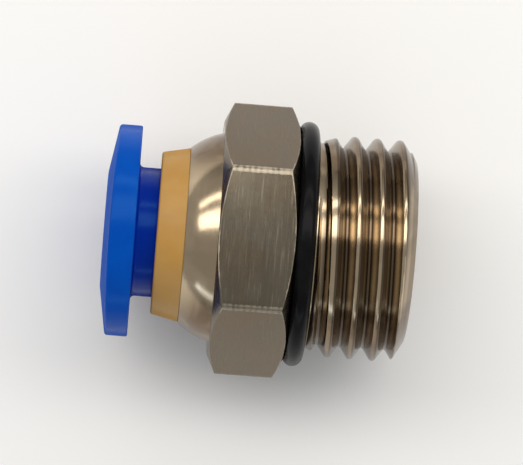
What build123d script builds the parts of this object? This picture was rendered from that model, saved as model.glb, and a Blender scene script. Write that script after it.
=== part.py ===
from build123d import *
import math
import os

# Straight push to connect fitting for a 6 mm tube, with a G1/4 parallel male thread.
# Millimetres. X runs along the fitting, from the tube's end (-X) to the thread's end (+X), and +Z is up.
# The origin is the centre of the seal face, the face of the hexagon that stops against the port.

# ---- Tube and thread that the fitting joins ----
TUBE_DIAMETER = 6.0
THREAD_MAJOR_DIAMETER = 13.157
THREAD_PITCH = 1.337

# ---- Release sleeve ----
SLEEVE_TRAVEL = 1.2
SLEEVE_BORE_CLEARANCE = 0.1
SLEEVE_MOUTH_CHAMFER = 0.3
SLEEVE_WALL = 0.71
SLEEVE_NOSE_LENGTH = 0.95
SLEEVE_NOSE_WALL = 0.55
SLEEVE_TIP_WALL = 0.25
FLANGE_RIM_LENGTH = 1.34
FLANGE_CONE_LENGTH = 0.48
FLANGE_LONG_DIAMETER = 12.5
FLANGE_SHORT_DIAMETER = 10.9
FLANGE_MOUTH_LAND = 0.05
FLANGE_EDGE_CHAMFER = 0.1
FLANGE_ROOT_CHAMFER = 0.25
BARB_HEIGHT = 0.25
BARB_LENGTH = 0.5
SLIT_COUNT = 4
SLIT_WIDTH = 0.6
SLIT_LENGTH = 2.6

# ---- Gaps that the sleeve leaves as it slides ----
SLEEVE_RUNNING_CLEARANCE = 0.05
BARB_STOP_GAP = 0.05
BARB_SIDE_CLEARANCE = 0.1
BARB_CLAW_GAP = 0.05
FLANGE_STOP_GAP = 0.06

# ---- Guide ring ----
GUIDE_FLANGE_LENGTH = 1.66
GUIDE_FRONT_WALL = 0.94
GUIDE_STEP_TO_NOSE = 0.05
GUIDE_SKIRT_WALL = 0.34
GUIDE_EDGE_CHAMFER = 0.15
GUIDE_LEAD_CHAMFER = 0.2
GUIDE_SHOULDER_DEPTH = 1.32

# ---- Body: hexagon ----
HEX_SIDES = 6
HEX_ACROSS_FLATS = 14.0
HEX_LENGTH = 4.45
HEX_CHAMFER_ANGLE = 25.0
HEX_CORNER_DIAMETER = 16.1

# ---- Body: domed nose ----
NOSE_LENGTH = 1.87
NOSE_WALL = 0.7
DOME_RISE = 1.0
DOME_BULGE = 0.12

# ---- Body: threaded shank ----
THREAD_END_X = 7.0
THREAD_START_CHAMFER = 0.35
THREAD_END_CHAMFER_LENGTH = THREAD_PITCH / 2
THREAD_END_CHAMFER_DEPTH = 1.15

# ---- Body: stepped bore ----
CHAMBER_MOUTH_CHAMFER = 0.15
TUBE_SEAT_CLEARANCE = 0.05
TUBE_SEAT_LENGTH = 3.3
KEY_ACROSS_FLATS = 4.0
KEY_MOUTH_CHAMFER = 0.25

# ---- Thread O-ring, and the neck that it sits on ----
O_RING_SECTION = 1.15
O_RING_STANDOUT = 0.25
O_RING_SIDE_GAP = 0.1
O_RING_FLATS = 16

# ---- Lock claws ----
CLAW_SHEET = 0.25
CLAW_TOOTH_COUNT = 10
CLAW_RIM_WIDTH = 0.5
CLAW_TOOTH_ANGLE = 45.0
CLAW_BITE = 0.1
CLAW_SLOT_WIDTH = 0.55
CLAW_TIP_RELIEF = 0.12

# ---- Backing ring ----
BACKING_LAND_LENGTH = 0.45
BACKING_TUBE_CLEARANCE = 0.12
CLAW_OPENING_ROOM = 0.15

# ---- Tube seal ----
SEAL_LENGTH = 2.6
SEAL_LIP_BITE = 0.1
SEAL_WALL = 0.8
SEAL_LIP_LENGTH = 0.8
SEAL_LIP_EDGE = 0.2

# ---- Clearance of the loose rings in the chamber ----
RING_CLEARANCE = 0.03

# ---- Radii, from the tube outward ----
TUBE_RADIUS = TUBE_DIAMETER / 2
SLEEVE_BORE_RADIUS = TUBE_RADIUS + SLEEVE_BORE_CLEARANCE
SLEEVE_NECK_RADIUS = SLEEVE_BORE_RADIUS + SLEEVE_WALL
BARB_RADIUS = SLEEVE_NECK_RADIUS + BARB_HEIGHT
GUIDE_BORE_RADIUS = SLEEVE_NECK_RADIUS + SLEEVE_RUNNING_CLEARANCE
GUIDE_RECESS_RADIUS = BARB_RADIUS + BARB_SIDE_CLEARANCE
CHAMBER_RADIUS = GUIDE_RECESS_RADIUS + GUIDE_SKIRT_WALL
LOOSE_RING_RADIUS = CHAMBER_RADIUS - RING_CLEARANCE
NOSE_RADIUS = CHAMBER_RADIUS + NOSE_WALL
DOME_BASE_RADIUS = NOSE_RADIUS + DOME_RISE
THREAD_RADIUS = THREAD_MAJOR_DIAMETER / 2
O_RING_RADIUS = HEX_ACROSS_FLATS / 2 + O_RING_STANDOUT
NECK_RADIUS = O_RING_RADIUS - O_RING_SECTION

# ---- Places along X, from the seal face at 0 ----
NECK_END_X = O_RING_SECTION + O_RING_SIDE_GAP
HEX_BACK_X = -HEX_LENGTH
NOSE_X = HEX_BACK_X - NOSE_LENGTH
GUIDE_FRONT_X = NOSE_X - GUIDE_FLANGE_LENGTH
GUIDE_SHOULDER_X = NOSE_X + GUIDE_SHOULDER_DEPTH
FLANGE_BACK_X = GUIDE_FRONT_X - SLEEVE_TRAVEL - FLANGE_STOP_GAP
FLANGE_RIM_X = FLANGE_BACK_X - FLANGE_RIM_LENGTH
FLANGE_FRONT_X = FLANGE_RIM_X - FLANGE_CONE_LENGTH
BARB_X = GUIDE_SHOULDER_X + BARB_STOP_GAP
BARB_END_X = BARB_X + BARB_LENGTH
SLEEVE_END_X = BARB_END_X + SLEEVE_NOSE_LENGTH
CLAW_X = BARB_END_X + SLEEVE_TRAVEL + BARB_CLAW_GAP
BACKING_X = CLAW_X + CLAW_SHEET

# ---- Claws, and the cone behind them that lets their teeth open ----
CLAW_LEAN = math.radians(CLAW_TOOTH_ANGLE)
CLAW_BEND_RADIUS = LOOSE_RING_RADIUS - CLAW_RIM_WIDTH
CLAW_BACK_BEND_RADIUS = CLAW_BEND_RADIUS + CLAW_SHEET * math.tan(CLAW_LEAN / 2)
CLAW_TIP_RADIUS = TUBE_RADIUS - CLAW_BITE
BACKING_MOUTH_RADIUS = CLAW_BACK_BEND_RADIUS + CLAW_OPENING_ROOM
BACKING_LAND_RADIUS = TUBE_RADIUS + BACKING_TUBE_CLEARANCE
BACKING_LAND_X = BACKING_X + (BACKING_MOUTH_RADIUS - BACKING_LAND_RADIUS) / math.tan(CLAW_LEAN)
SEAL_X = BACKING_LAND_X + BACKING_LAND_LENGTH
CHAMBER_FLOOR_X = SEAL_X + SEAL_LENGTH
TUBE_STOP_X = CHAMBER_FLOOR_X + TUBE_SEAT_LENGTH


def turned(outline):
    """Solid turned about X from a closed outline of lines and arcs in (x, radius)."""
    return revolve(make_face(outline), Axis.X)


def turned_points(*points):
    """Solid turned about X from the corners of a straight-sided outline in (x, radius)."""
    return turned(Polyline(*points, close=True))


def rod(start_x, end_x, radius):
    """Round bar along X."""
    return turned_points((start_x, 0), (start_x, radius), (end_x, radius), (end_x, 0))


def hexagon_bar(start_x, end_x, across_flats):
    """Six-sided bar along X, with a flat to the top."""
    section = RegularPolygon(across_flats / 2, HEX_SIDES, major_radius=False)
    return extrude(Plane.YZ.offset(start_x) * section, end_x - start_x)


# ---- Body ----
def nose_dome():
    """Nose that widens in a gentle arc from its rim to the hexagon."""
    start = Vector(NOSE_X, NOSE_RADIUS)
    base = Vector(HEX_BACK_X, DOME_BASE_RADIUS)
    outward = Vector(-DOME_RISE, NOSE_LENGTH).normalized()
    middle = (start + base) / 2 + outward * DOME_BULGE
    core = Polyline(base, (HEX_BACK_X, 0), (NOSE_X, 0), start)
    return turned([ThreePointArc(start, middle, base), core])


def hexagon():
    """Wrench hexagon, its corners turned down by a cone at each face."""
    flat_radius = HEX_ACROSS_FLATS / 2
    corner_radius = HEX_CORNER_DIAMETER / 2
    cone = (corner_radius - flat_radius) * math.tan(math.radians(HEX_CHAMFER_ANGLE))
    blank = turned_points(
        (HEX_BACK_X, 0),
        (HEX_BACK_X, flat_radius),
        (HEX_BACK_X + cone, corner_radius),
        (-cone, corner_radius),
        (0, flat_radius),
        (0, 0),
    )
    return hexagon_bar(HEX_BACK_X, 0, HEX_ACROSS_FLATS) & blank


def thread_shank():
    """Neck under the O-ring, and the threaded shank as a plain bar of the thread's major diameter."""
    return turned_points(
        (0, 0),
        (0, NECK_RADIUS),
        (NECK_END_X, NECK_RADIUS),
        (NECK_END_X + THREAD_START_CHAMFER, THREAD_RADIUS),
        (THREAD_END_X - THREAD_END_CHAMFER_LENGTH, THREAD_RADIUS),
        (THREAD_END_X, THREAD_RADIUS - THREAD_END_CHAMFER_DEPTH),
        (THREAD_END_X, 0),
    )


def body_bore():
    """Everything cut out of the body along its axis: chamber, tube seat and hexagon key bore."""
    chamber = turned_points(
        (NOSE_X, 0),
        (NOSE_X, CHAMBER_RADIUS + CHAMBER_MOUTH_CHAMFER),
        (NOSE_X + CHAMBER_MOUTH_CHAMFER, CHAMBER_RADIUS),
        (CHAMBER_FLOOR_X, CHAMBER_RADIUS),
        (CHAMBER_FLOOR_X, 0),
    )
    tube_seat = rod(CHAMBER_FLOOR_X, TUBE_STOP_X, TUBE_RADIUS + TUBE_SEAT_CLEARANCE)
    key_bore = hexagon_bar(TUBE_STOP_X, THREAD_END_X, KEY_ACROSS_FLATS)
    key_corner_radius = KEY_ACROSS_FLATS / 2 / math.cos(math.pi / HEX_SIDES)
    key_mouth = turned_points(
        (THREAD_END_X - KEY_MOUTH_CHAMFER, 0),
        (THREAD_END_X - KEY_MOUTH_CHAMFER, key_corner_radius),
        (THREAD_END_X, key_corner_radius + KEY_MOUTH_CHAMFER),
        (THREAD_END_X, 0),
    )
    return chamber + tube_seat + key_bore + key_mouth


def make_body():
    """Turned brass body."""
    return nose_dome() + hexagon() + thread_shank() - body_bore()


# ---- Thread O-ring ----
def make_thread_o_ring():
    """Ring on the neck, with narrow flats round its section that bear on the neck and on the seal face."""
    section_radius = O_RING_SECTION / 2
    turn = 180 / O_RING_FLATS
    section = RegularPolygon(section_radius, O_RING_FLATS, major_radius=False, rotation=turn)
    return revolve(Pos(section_radius, NECK_RADIUS + section_radius) * section, Axis.X)


# ---- Guide ring ----
def make_guide_ring():
    """Ring on the nose, with its skirt in the chamber and the recess that holds the sleeve's barbs."""
    front_radius = GUIDE_BORE_RADIUS + GUIDE_FRONT_WALL
    return turned_points(
        (GUIDE_FRONT_X, GUIDE_BORE_RADIUS + GUIDE_LEAD_CHAMFER),
        (GUIDE_FRONT_X, front_radius - GUIDE_EDGE_CHAMFER),
        (GUIDE_FRONT_X + GUIDE_EDGE_CHAMFER, front_radius),
        (NOSE_X, NOSE_RADIUS - GUIDE_STEP_TO_NOSE),
        (NOSE_X, CHAMBER_RADIUS + CHAMBER_MOUTH_CHAMFER),
        (NOSE_X + CHAMBER_MOUTH_CHAMFER, CHAMBER_RADIUS),
        (CLAW_X, CHAMBER_RADIUS),
        (CLAW_X, GUIDE_RECESS_RADIUS),
        (GUIDE_SHOULDER_X, GUIDE_RECESS_RADIUS),
        (GUIDE_SHOULDER_X, GUIDE_BORE_RADIUS),
        (GUIDE_FRONT_X + GUIDE_LEAD_CHAMFER, GUIDE_BORE_RADIUS),
    )


# ---- Release sleeve ----
def sleeve_flange():
    """Oval push flange, its front a shallow cone and its back edge chamfered."""
    section = Ellipse(FLANGE_LONG_DIAMETER / 2, FLANGE_SHORT_DIAMETER / 2)
    plate = extrude(Plane.YZ.offset(FLANGE_FRONT_X) * section, FLANGE_BACK_X - FLANGE_FRONT_X)
    plate = chamfer(plate.edges().sort_by(Axis.X)[-1], FLANGE_EDGE_CHAMFER)
    rim_radius = FLANGE_LONG_DIAMETER / 2
    cone = turned_points(
        (FLANGE_FRONT_X, 0),
        (FLANGE_FRONT_X, SLEEVE_BORE_RADIUS + SLEEVE_MOUTH_CHAMFER + FLANGE_MOUTH_LAND),
        (FLANGE_RIM_X, rim_radius),
        (FLANGE_BACK_X, rim_radius + FLANGE_RIM_LENGTH),
        (FLANGE_BACK_X, 0),
    )
    return plate & cone


def sleeve_stem():
    """Neck, snap barb and the tapered nose that opens the claws."""
    return turned_points(
        (FLANGE_BACK_X, 0),
        (FLANGE_BACK_X, SLEEVE_NECK_RADIUS + FLANGE_ROOT_CHAMFER),
        (FLANGE_BACK_X + FLANGE_ROOT_CHAMFER, SLEEVE_NECK_RADIUS),
        (BARB_X, SLEEVE_NECK_RADIUS),
        (BARB_X, BARB_RADIUS),
        (BARB_END_X, SLEEVE_BORE_RADIUS + SLEEVE_NOSE_WALL),
        (SLEEVE_END_X, SLEEVE_BORE_RADIUS + SLEEVE_TIP_WALL),
        (SLEEVE_END_X, 0),
    )


def sleeve_slits():
    """Slots from the inner end that let the barbs spring in."""
    root_x = SLEEVE_END_X - SLIT_LENGTH
    slit = Pos(root_x + SLIT_LENGTH / 2, 0, BARB_RADIUS / 2) * Box(SLIT_LENGTH, SLIT_WIDTH, BARB_RADIUS)
    root = Pos(root_x, 0, BARB_RADIUS / 2) * Cylinder(SLIT_WIDTH / 2, BARB_RADIUS)
    return [Rot(X=360 * turn / SLIT_COUNT) * (slit + root) for turn in range(SLIT_COUNT)]


def make_release_sleeve():
    """Push sleeve that slides in the guide ring and opens the claws."""
    bore = turned_points(
        (FLANGE_FRONT_X, 0),
        (FLANGE_FRONT_X, SLEEVE_BORE_RADIUS + SLEEVE_MOUTH_CHAMFER),
        (FLANGE_FRONT_X + SLEEVE_MOUTH_CHAMFER, SLEEVE_BORE_RADIUS),
        (SLEEVE_END_X, SLEEVE_BORE_RADIUS),
        (SLEEVE_END_X, 0),
    )
    return sleeve_flange() + sleeve_stem() - bore - sleeve_slits()


# ---- Lock claws ----
def make_lock_claws():
    """Sheet ring whose teeth lean inward and down the bore, so that they bite when the tube is pulled."""
    tip_x = CLAW_X + (CLAW_BEND_RADIUS - CLAW_TIP_RADIUS) / math.tan(CLAW_LEAN)
    slant = CLAW_SHEET / math.sin(CLAW_LEAN)
    sheet = turned_points(
        (CLAW_X, LOOSE_RING_RADIUS),
        (BACKING_X, LOOSE_RING_RADIUS),
        (BACKING_X, CLAW_BACK_BEND_RADIUS),
        (tip_x + slant - CLAW_TIP_RELIEF, CLAW_TIP_RADIUS + CLAW_TIP_RELIEF),
        (tip_x, CLAW_TIP_RADIUS),
        (CLAW_X, CLAW_BEND_RADIUS),
    )
    root_radius = CLAW_BEND_RADIUS - CLAW_SLOT_WIDTH / 2
    slot_length = 2 * (tip_x + slant - CLAW_X)
    slot = Pos(CLAW_X, 0, root_radius / 2) * Box(slot_length, CLAW_SLOT_WIDTH, root_radius)
    root = Pos(CLAW_X, 0, root_radius) * Rot(Y=90) * Cylinder(CLAW_SLOT_WIDTH / 2, slot_length)
    return sheet - [Rot(X=360 * turn / CLAW_TOOTH_COUNT) * (slot + root) for turn in range(CLAW_TOOTH_COUNT)]


# ---- Backing ring ----
def make_backing_ring():
    """Ring behind the claws: a cone beside the teeth and a land that guides the tube."""
    return turned_points(
        (BACKING_X, BACKING_MOUTH_RADIUS),
        (BACKING_X, LOOSE_RING_RADIUS),
        (SEAL_X, LOOSE_RING_RADIUS),
        (SEAL_X, BACKING_LAND_RADIUS),
        (BACKING_LAND_X, BACKING_LAND_RADIUS),
    )


# ---- Tube seal ----
def make_tube_seal():
    """Rubber ring with a lip at each end that presses on the tube, and a waist between them."""
    lip_radius = TUBE_RADIUS - SEAL_LIP_BITE
    waist_radius = LOOSE_RING_RADIUS - SEAL_WALL
    back_lip_x = CHAMBER_FLOOR_X - SEAL_LIP_LENGTH
    return turned_points(
        (SEAL_X, LOOSE_RING_RADIUS),
        (SEAL_X, lip_radius + SEAL_LIP_EDGE),
        (SEAL_X + SEAL_LIP_EDGE, lip_radius),
        (SEAL_X + SEAL_LIP_LENGTH - SEAL_LIP_EDGE, lip_radius),
        (SEAL_X + SEAL_LIP_LENGTH, waist_radius),
        (back_lip_x, waist_radius),
        (back_lip_x + SEAL_LIP_EDGE, lip_radius),
        (CHAMBER_FLOOR_X - SEAL_LIP_EDGE, lip_radius),
        (CHAMBER_FLOOR_X, lip_radius + SEAL_LIP_EDGE),
        (CHAMBER_FLOOR_X, LOOSE_RING_RADIUS),
    )


PIECES = {
    "body": make_body,
    "thread_o_ring": make_thread_o_ring,
    "guide_ring": make_guide_ring,
    "release_sleeve": make_release_sleeve,
    "lock_claws": make_lock_claws,
    "backing_ring": make_backing_ring,
    "tube_seal": make_tube_seal,
}

os.makedirs("parts", exist_ok=True)
for name, make in PIECES.items():
    export_step(make(), f"parts/{name}.step")
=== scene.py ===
import logging
import math
from dataclasses import dataclass
from enum import Enum

import bmesh
import bpy
from mathutils import Matrix, Vector


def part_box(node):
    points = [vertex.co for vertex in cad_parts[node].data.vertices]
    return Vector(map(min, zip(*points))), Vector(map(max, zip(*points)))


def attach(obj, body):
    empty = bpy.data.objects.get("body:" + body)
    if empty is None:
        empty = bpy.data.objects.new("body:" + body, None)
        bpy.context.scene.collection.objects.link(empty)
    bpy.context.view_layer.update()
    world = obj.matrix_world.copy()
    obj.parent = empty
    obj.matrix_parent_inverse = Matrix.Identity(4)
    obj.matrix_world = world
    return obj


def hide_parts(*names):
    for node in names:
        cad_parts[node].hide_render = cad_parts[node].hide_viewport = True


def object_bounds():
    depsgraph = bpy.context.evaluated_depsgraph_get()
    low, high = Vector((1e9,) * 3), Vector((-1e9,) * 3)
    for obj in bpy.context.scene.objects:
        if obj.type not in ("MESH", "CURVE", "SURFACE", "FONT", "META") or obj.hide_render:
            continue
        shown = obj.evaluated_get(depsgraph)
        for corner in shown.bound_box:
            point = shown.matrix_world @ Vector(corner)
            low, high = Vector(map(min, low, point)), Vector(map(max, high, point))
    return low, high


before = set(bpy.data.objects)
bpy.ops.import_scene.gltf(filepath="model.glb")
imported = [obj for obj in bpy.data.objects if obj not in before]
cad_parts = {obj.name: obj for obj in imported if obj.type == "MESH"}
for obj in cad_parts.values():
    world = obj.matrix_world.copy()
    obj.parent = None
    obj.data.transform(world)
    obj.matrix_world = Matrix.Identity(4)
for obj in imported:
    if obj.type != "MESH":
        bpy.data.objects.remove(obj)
CAD_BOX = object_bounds()

MM = 0.001
FULL_TURN = 2 * math.pi
RIGHT_ANGLE = math.pi / 2
HEX_SIDES = 6
HALF_SIDE = math.pi / HEX_SIDES
SPIN_STEPS = 252
ROUND_STEPS = 6
NEARLY_STRAIGHT = 0.49 * math.pi
MERGE_DISTANCE = 1e-7
CUT_DISTANCE = MERGE_DISTANCE / 10
FALLING = (1.0, 0.0)
PATCHES_PER_METRE = 420.0
SPECKS_PER_METRE = 2300.0
SPECK_FIELDS_PER_METRE = 900.0
FILM_PER_METRE = 260.0
THREAD_DIAMETER = 13.157 * MM
FLOOR_GAP = 0.02 * MM

Point = tuple[float, float]
Span = tuple[float, float]
Colour = tuple[float, float, float]
Operand = "Value | float | Colour"
Mesh = bmesh.types.BMesh
Vert = bmesh.types.BMVert
Edge = bmesh.types.BMEdge
Piece = bpy.types.Object

log = logging.getLogger("fitting")


# ---------------------------------------------------------------- outlines and turned meshes


@dataclass(frozen=True)
class Corner:
    """One corner of a turned outline: its place along the axis, its radius and its rounding."""

    x: float
    r: float
    rounding: float = 0.0


def round_corner(before: Corner, corner: Corner, after: Corner) -> list[Point]:
    """Points that replace a corner by an arc touching both of its sides.

    Args:
        before: The corner ahead of it.
        corner: The corner to round.
        after: The corner that follows.

    Returns:
        The arc's points in (x, radius), or the corner itself where it has no rounding.
    """
    here = Vector((corner.x, corner.r))
    back = (Vector((before.x, before.r)) - here).normalized()
    ahead = (Vector((after.x, after.r)) - here).normalized()
    half_angle = back.angle(ahead) / 2
    if corner.rounding == 0 or half_angle > NEARLY_STRAIGHT:
        return [(corner.x, corner.r)]
    reach = corner.rounding / math.tan(half_angle)
    middle = here + (back + ahead).normalized() * corner.rounding / math.sin(half_angle)
    start = here + back * reach - middle
    sweep = start.angle_signed(here + ahead * reach - middle)
    arc = []
    for step in range(ROUND_STEPS + 1):
        spoke = start.copy()
        spoke.rotate(Matrix.Rotation(-sweep * step / ROUND_STEPS, 2))
        arc.append(tuple(middle + spoke))
    return arc


def round_outline(corners: list[Corner], closed: bool) -> list[Point]:
    """Outline with each corner rounded as it asks.

    Args:
        corners: The corners in order.
        closed: Whether the last corner joins the first.

    Returns:
        The outline's points in (x, radius).
    """
    points: list[Point] = []
    last = len(corners) - 1
    for place, corner in enumerate(corners):
        if not closed and place in (0, last):
            points.append((corner.x, corner.r))
        else:
            points += round_corner(corners[place - 1], corner, corners[(place + 1) % len(corners)])
    return points


def around(middle: float, reach: float) -> Span:
    """Span that reaches equally far to both sides of its middle."""
    return middle - reach, middle + reach


def arc_points(centre: Point, radius: float, start: float, end: float, steps: int) -> list[Point]:
    """Points along an arc of an outline.

    Args:
        centre: The arc's centre in (x, radius).
        radius: The arc's radius.
        start: Angle of the first point, from +X towards a larger radius.
        end: Angle of the last point.
        steps: Number of chords.

    Returns:
        The points in order.
    """
    angles = [start + (end - start) * step / steps for step in range(steps + 1)]
    return [(centre[0] + radius * math.cos(a), centre[1] + radius * math.sin(a)) for a in angles]


def bulged_run(start: Point, end: Point, bulge: float, steps: int) -> list[Point]:
    """Points along an arc between two points of an outline.

    Args:
        start: First point in (x, radius).
        end: Last point.
        bulge: How far the arc's middle stands off the straight line, on its left.
        steps: Number of chords.

    Returns:
        The points in order, with both ends.
    """
    first, last = Vector(start), Vector(end)
    half = (last - first).length / 2
    radius = (half**2 + bulge**2) / (2 * bulge)
    along = (last - first).normalized()
    left = Vector((-along.y, along.x))
    centre = (first + last) / 2 - left * (radius - bulge)
    opening = math.asin(half / radius)
    heading = math.atan2(left.y, left.x)
    return arc_points(tuple(centre), radius, heading + opening, heading - opening, steps)


def split_runs(points: list[Point], longest: float) -> list[Point]:
    """Outline with points added along its long straight runs.

    Args:
        points: The outline in (x, radius).
        longest: Longest run that stays whole.

    Returns:
        The outline with the added points.
    """
    split = [points[0]]
    for start, end in zip(points, points[1:]):
        parts = math.ceil(math.dist(start, end) / longest)
        for part in range(1, parts + 1):
            share = part / parts
            split.append(tuple(a + (b - a) * share for a, b in zip(start, end)))
    return split


def add_outline(mesh: Mesh, points: list[Point], closed: bool) -> list[Vert | Edge]:
    """Adds an outline to a mesh, in the half plane towards +Y.

    Args:
        mesh: The mesh that receives it.
        points: The outline in (x, radius).
        closed: Whether the last point joins the first.

    Returns:
        The new vertices and edges.
    """
    verts = [mesh.verts.new((x, r, 0)) for x, r in points]
    pairs = list(zip(verts, verts[1:]))
    if closed:
        pairs.append((verts[-1], verts[0]))
    return verts + [mesh.edges.new(pair) for pair in pairs]


def spin_outline(mesh: Mesh, points: list[Point], closed: bool, pitch: float = 0.0) -> None:
    """Turns an outline once about the X axis into a surface.

    Args:
        mesh: The mesh that receives it.
        points: The outline in (x, radius).
        closed: Whether the outline is a loop.
        pitch: How far the outline moves along the axis in its turn.
    """
    bmesh.ops.spin(
        mesh,
        geom=add_outline(mesh, points, closed),
        cent=(0, 0, 0),
        axis=(1, 0, 0),
        dvec=(pitch / SPIN_STEPS, 0, 0),
        angle=FULL_TURN,
        steps=SPIN_STEPS,
        use_merge=pitch == 0,
    )


def whole(mesh: Mesh) -> list:
    """All vertices, edges and faces of a mesh."""
    return mesh.verts[:] + mesh.edges[:] + mesh.faces[:]


def only(kind: type, items: list) -> list:
    """The items of one kind, vertices or edges, in an operator's result."""
    return [item for item in items if isinstance(item, kind)]


def trim(mesh: Mesh, point: Vector, outward: Vector) -> list[Edge]:
    """Cuts off what lies outside a plane.

    Args:
        mesh: The mesh to cut.
        point: A point of the plane.
        outward: The plane's normal, towards the side that goes.

    Returns:
        The edges of the cut.
    """
    cut = bmesh.ops.bisect_plane(
        mesh,
        geom=whole(mesh),
        dist=CUT_DISTANCE,
        plane_co=point,
        plane_no=outward,
        clear_outer=True,
    )
    return only(Edge, cut["geom_cut"])


def clean(mesh: Mesh) -> None:
    """Merges a mesh's doubled vertices and turns its faces outward.

    Args:
        mesh: The mesh to clean.
    """
    bmesh.ops.remove_doubles(mesh, verts=mesh.verts, dist=MERGE_DISTANCE)
    bmesh.ops.dissolve_degenerate(mesh, edges=mesh.edges, dist=MERGE_DISTANCE)
    bmesh.ops.recalc_face_normals(mesh, faces=mesh.faces)


def finish_piece(mesh: Mesh, name: str, smooth_angle: float = 30.0) -> Piece:
    """Makes an object of a finished mesh.

    Args:
        mesh: The mesh, which is freed.
        name: The piece's name.
        smooth_angle: Faces that meet at less than this many degrees look like one surface.

    Returns:
        The new object, in the scene.
    """
    data = bpy.data.meshes.new(name)
    mesh.to_mesh(data)
    mesh.free()
    piece = bpy.data.objects.new(name, data)
    bpy.context.scene.collection.objects.link(piece)
    data.shade_smooth()
    data.set_sharp_from_angle(angle=math.radians(smooth_angle))
    return piece


def boundary_at(mesh: Mesh, x: float) -> list[Edge]:
    """Open edges of a mesh that lie in the plane at x."""
    open_edges = [edge for edge in mesh.edges if edge.is_boundary]
    return [e for e in open_edges if all(abs(v.co.x - x) < MERGE_DISTANCE for v in e.verts)]


def radius_of(vert: Vert) -> float:
    """Distance of a vertex from the fitting's axis."""
    return math.hypot(vert.co.y, vert.co.z)


def set_radius(vert: Vert, radius: float) -> None:
    """Moves a vertex along its own radius to a new distance from the axis."""
    share = radius / radius_of(vert)
    vert.co.y, vert.co.z = vert.co.y * share, vert.co.z * share


# ---------------------------------------------------------------- shader graphs


class Value:
    """A socket of a shader graph, on which arithmetic adds Math nodes."""

    def __init__(self, graph: "Graph", socket: bpy.types.NodeSocket) -> None:
        """Keeps the graph and the socket."""
        self.graph, self.socket = graph, socket

    def __add__(self, other: Operand) -> "Value":
        """This value and another one added."""
        return self.graph.math("ADD", self, other)

    def __sub__(self, other: Operand) -> "Value":
        """This value less another one."""
        return self.graph.math("SUBTRACT", self, other)

    def __rsub__(self, other: float) -> "Value":
        """A number less this value."""
        return self.graph.math("SUBTRACT", other, self)

    def __mul__(self, other: Operand) -> "Value":
        """This value times another one."""
        return self.graph.math("MULTIPLY", self, other)

    def __truediv__(self, other: Operand) -> "Value":
        """This value over another one."""
        return self.graph.math("DIVIDE", self, other)

    def ramp(self, span: Span, ends: Span = (0.0, 1.0)) -> "Value":
        """Smooth step of this value.

        Args:
            span: Values where the step starts and stops.
            ends: Results there.

        Returns:
            The stepped value.
        """
        made = self.graph.node("MapRange", interpolation_type="SMOOTHSTEP")
        (low, high), (start, end) = span, ends
        self.graph.fill(made, Value=self, From_Min=low, From_Max=high, To_Min=start, To_Max=end)
        return Value(self.graph, made.outputs["Result"])


class Graph:
    """A node tree with short calls for adding and joining its nodes."""

    def __init__(self, tree: bpy.types.NodeTree) -> None:
        """Keeps the tree that the calls add to."""
        self.tree = tree

    def node(self, kind: str, **settings: object) -> bpy.types.Node:
        """Adds a node.

        Args:
            kind: The node's type, without the ShaderNode in front.
            settings: Properties to set on it.

        Returns:
            The new node.
        """
        made = self.tree.nodes.new("ShaderNode" + kind)
        for name, value in settings.items():
            setattr(made, name, value)
        return made

    def feed(self, target: bpy.types.NodeSocket, source: Operand) -> None:
        """Joins a socket to a value, or sets it where the source is a plain number or colour.

        Args:
            target: The socket to feed.
            source: What it gets.
        """
        if isinstance(source, Value):
            self.tree.links.new(source.socket, target)
        elif target.type == "RGBA":
            target.default_value = (*source, 1.0)
        else:
            target.default_value = source

    def fill(self, node: bpy.types.Node, **inputs: Operand) -> None:
        """Feeds a node's inputs by name, with _ for a space in the name."""
        for name, source in inputs.items():
            self.feed(node.inputs[name.replace("_", " ")], source)

    def math(
        self, operation: str, first: Operand, second: Operand = 0.0, clamp: bool = False
    ) -> Value:
        """Result of a Math node.

        Args:
            operation: The node's operation.
            first: First value.
            second: Second value.
            clamp: Whether the result stays between 0 and 1.

        Returns:
            The node's result.
        """
        made = self.node("Math", operation=operation, use_clamp=clamp)
        self.feed(made.inputs[0], first)
        self.feed(made.inputs[1], second)
        return Value(self, made.outputs[0])

    def noise(
        self, vector: Value, scale: Operand, detail: float = 2.0, distortion: float = 0.0
    ) -> Value:
        """Value of a noise texture.

        Args:
            vector: Coordinates.
            scale: Cycles per metre of the coordinates.
            detail: Number of finer layers.
            distortion: Strength of the swirl.

        Returns:
            The noise, from 0 to 1.
        """
        made = self.node("TexNoise")
        self.fill(made, Vector=vector, Scale=scale, Detail=detail, Distortion=distortion)
        return Value(self, made.outputs["Fac"])

    def mix(self, share: Value, first: Value | Colour, second: Value | Colour) -> Value:
        """Mixed colour.

        Args:
            share: Share of the second colour.
            first: First colour.
            second: Second colour.

        Returns:
            The mixed colour.
        """
        made = self.node("Mix", data_type="RGBA")
        for socket, source in zip((0, 6, 7), (share, first, second)):
            self.feed(made.inputs[socket], source)
        return Value(self, made.outputs[2])

    def bump(self, height: Value, distance: float, below: Value | None = None) -> Value:
        """Normal bent by a height.

        Args:
            height: The height, from 0 to 1.
            distance: Real height in metres of a full step.
            below: A normal that this one lies on.

        Returns:
            The bent normal.
        """
        made = self.node("Bump")
        self.fill(made, Strength=1.0, Distance=distance, Height=height)
        if below is not None:
            self.fill(made, Normal=below)
        return Value(self, made.outputs["Normal"])


class GroupKind(Enum):
    """Shader groups that several finishes share."""

    TURNING = "turning_marks"
    WEAR = "broken_wear"
    DUST = "settled_dust"


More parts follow.
